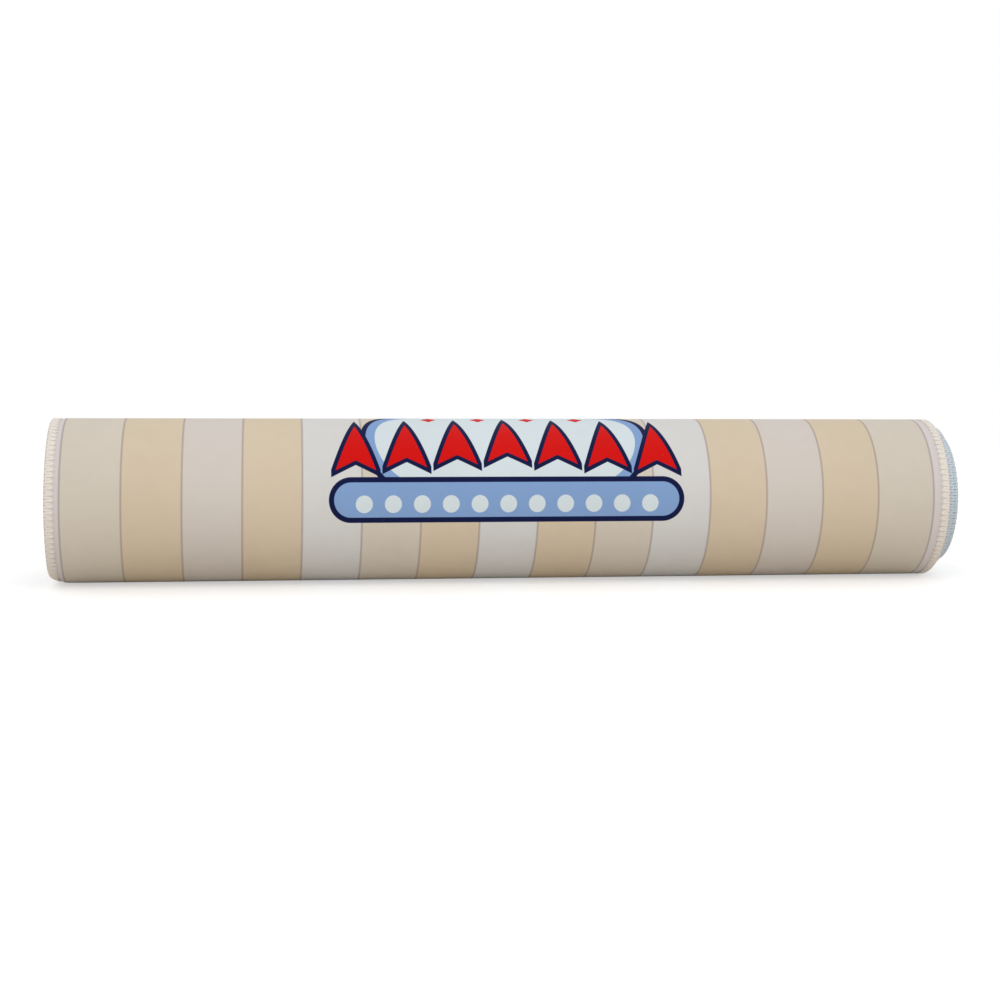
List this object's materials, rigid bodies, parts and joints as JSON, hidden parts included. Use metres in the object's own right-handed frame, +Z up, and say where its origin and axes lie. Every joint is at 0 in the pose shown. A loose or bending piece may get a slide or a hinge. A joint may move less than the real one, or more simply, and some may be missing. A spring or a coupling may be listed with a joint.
{
  "type": "rolled bowling play mat",
  "caption": "Tabletop bowling lane mat, rolled up: printed cloth on a rubber base with overlocked edges, open along its core and lying on a narrow flat.",
  "frame": {"origin": "middle of the roll's bounding box, on the surface that it lies on", "axes": "+X along the roll towards the end where the inner turns stand out, +Z up, -Y the front"},
  "size_m": [0.407, 0.0724, 0.073],
  "materials": {
    "printed_cloth": null,
    "rubber_base": "matt black foamed rubber with a fine non-slip texture",
    "thread": "textured polyester overlock thread, cream"
  },
  "bodies": {
    "root": {"printed_cloth": "printed_cloth", "rubber_base": "rubber_base", "left_needle_thread": "thread", "right_needle_thread": "thread", "loose_end_needle_thread": "thread", "core_end_needle_thread": "thread", "left_face_looper_thread": "thread", "right_face_looper_thread": "thread", "loose_end_face_looper_thread": "thread", "core_end_face_looper_thread": "thread", "left_back_looper_thread": "thread", "right_back_looper_thread": "thread", "loose_end_back_looper_thread": "thread", "core_end_back_looper_thread": "thread"}
  },
  "joints": []
}
